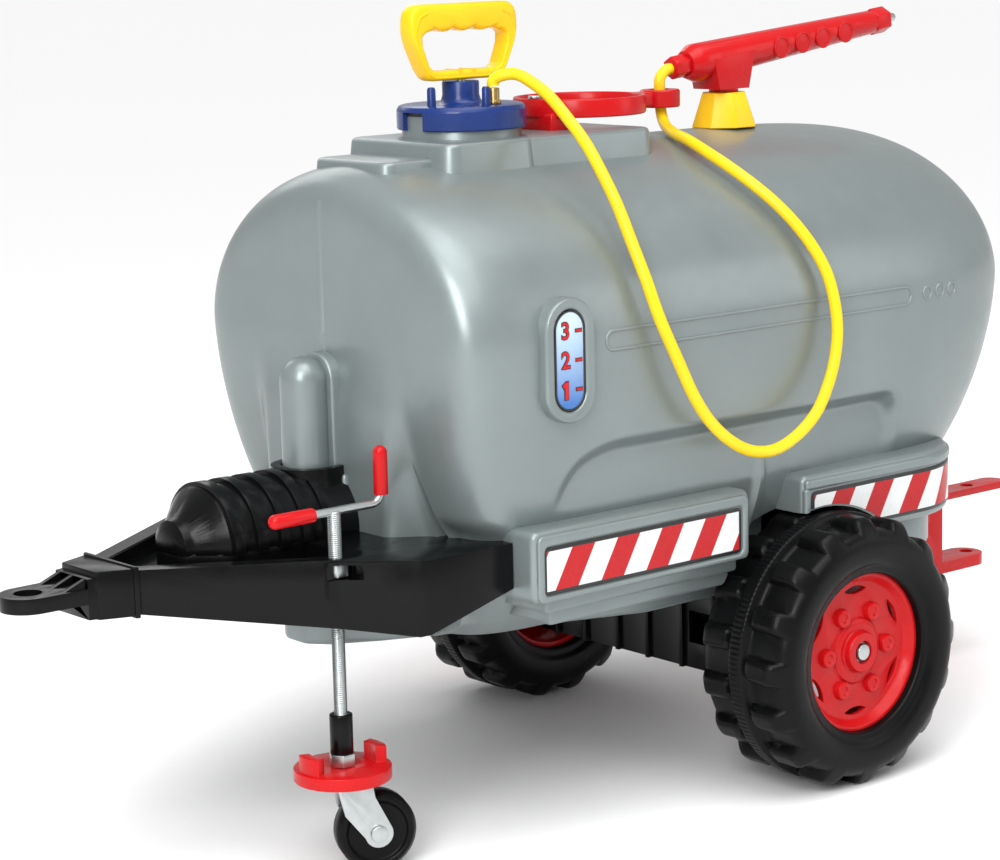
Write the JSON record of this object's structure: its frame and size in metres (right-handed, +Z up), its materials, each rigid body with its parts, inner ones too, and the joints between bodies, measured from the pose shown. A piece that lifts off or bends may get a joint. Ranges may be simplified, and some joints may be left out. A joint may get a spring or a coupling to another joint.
{
  "type": "toy water tank trailer",
  "caption": "Ride-on toy water bowser: single-axle tank trailer with pull pump, hose, swivelling spray gun, jockey castor on a crank screw, tow eye and rear hitch.",
  "frame": {"origin": "on the ground under the middle of the part's bounding box", "axes": "+X towards the rear hitch, tow eye at -X; +Z up; -Y is the side with the level gauge and jockey"},
  "size_m": [1.037, 0.452, 0.605],
  "materials": {
    "silver_plastic": "metallic satin",
    "black_plastic": "satin",
    "red_plastic": "gloss",
    "yellow_plastic": "gloss",
    "blue_plastic": "gloss",
    "white_plastic": "natural",
    "tyre_plastic": "satin black",
    "castor_rubber": "satin black",
    "seal_rubber": "matt",
    "hose_vinyl": "glossy vinyl",
    "gauge_window": "printed",
    "hazard_film": "printed film",
    "brass_fitting": "plain",
    "zinc_steel": "zinc plated"
  },
  "bodies": {
    "chassis": {"tank_shell": "silver_plastic", "level_gauge": "gauge_window", "panel_front_left": "hazard_film", "panel_front_right": "hazard_film", "panel_rear_left": "hazard_film", "panel_rear_right": "hazard_film", "drawbar": "black_plastic", "drawbar_screws": "zinc_steel", "ribbed_cover": "black_plastic", "tow_coupler": "black_plastic", "coupler_bolt": "zinc_steel", "jockey_nut": "zinc_steel", "axle": "zinc_steel", "axle_carrier": "black_plastic", "carrier_screws": "zinc_steel", "axle_spacers": "black_plastic", "axle_caps": "zinc_steel", "pump_cap": "blue_plastic", "cap_seal": "seal_rubber", "pump_barrel": "white_plastic", "foot_valve": "black_plastic", "hose_spigot": "brass_fitting", "hose": "hose_vinyl", "gun_pedestal": "yellow_plastic", "gun_pivot": "zinc_steel", "hose_guide": "red_plastic", "guide_screw": "zinc_steel", "rear_hitch": "red_plastic", "hitch_bolts": "zinc_steel"},
    "wheel_left": {"tyre_left": "tyre_plastic", "rim_left": "red_plastic"},
    "wheel_right": {"tyre_right": "tyre_plastic", "rim_right": "red_plastic"},
    "pump_plunger": {"pump_rod": "zinc_steel", "pump_piston": "black_plastic", "piston_ring": "seal_rubber", "pump_handle": "yellow_plastic", "handle_pin": "zinc_steel"},
    "jockey_carriage": {"castor_plate": "red_plastic"},
    "jockey_spindle": {"jockey_screw": "zinc_steel", "crank_bar": "zinc_steel", "crank_grips": "red_plastic", "spindle_sleeve": "black_plastic", "stem_nut": "zinc_steel", "kingpin_nut": "zinc_steel"},
    "castor": {"castor_fork": "zinc_steel", "castor_axle": "zinc_steel"},
    "castor_roller": {"castor_wheel": "castor_rubber"},
    "spray_gun": {"gun_body": "red_plastic", "gun_rear_nut": "red_plastic", "gun_nozzle_cap": "red_plastic", "gun_nozzle": "zinc_steel"}
  },
  "joints": [
    {"name": "wheel_left_spin", "type": "hinge", "parent": "chassis", "child": "wheel_left", "pos_m": [0.1035, -0.18, 0.105], "axis": [0, 1, 0], "continuous": true},
    {"name": "wheel_right_spin", "type": "hinge", "parent": "chassis", "child": "wheel_right", "pos_m": [0.1035, 0.18, 0.105], "axis": [0, 1, 0], "continuous": true},
    {"name": "pump_stroke", "type": "slide", "parent": "chassis", "child": "pump_plunger", "axis": [0, 0, 1], "range_m": [0, 0.11]},
    {"name": "jockey_lift", "type": "slide", "parent": "chassis", "child": "jockey_carriage", "axis": [0, 0, 1], "range_m": [0, 0.055]},
    {"name": "crank_turn", "type": "hinge", "parent": "jockey_carriage", "child": "jockey_spindle", "pos_m": [-0.3085, -0.097, 0.262], "axis": [0, 0, 1], "range_deg": [0, 13200]},
    {"name": "castor_swivel", "type": "hinge", "parent": "jockey_carriage", "child": "castor", "pos_m": [-0.3085, -0.097, 0.067], "axis": [0, 0, 1], "continuous": true},
    {"name": "castor_roll", "type": "hinge", "parent": "castor", "child": "castor_roller", "pos_m": [-0.2884, -0.10595, 0.029], "axis": [0.4067, 0.9135, 0], "continuous": true},
    {"name": "gun_swivel", "type": "hinge", "parent": "chassis", "child": "spray_gun", "pos_m": [0.1705, 0, 0.523], "axis": [0, 0, 1], "range_deg": [-15, 15], "deforming": ["hose"]}
  ],
  "couplings": [
    {"joint": "crank_turn", "follows": "jockey_lift", "rad_per_m": 4188.8}
  ]
}
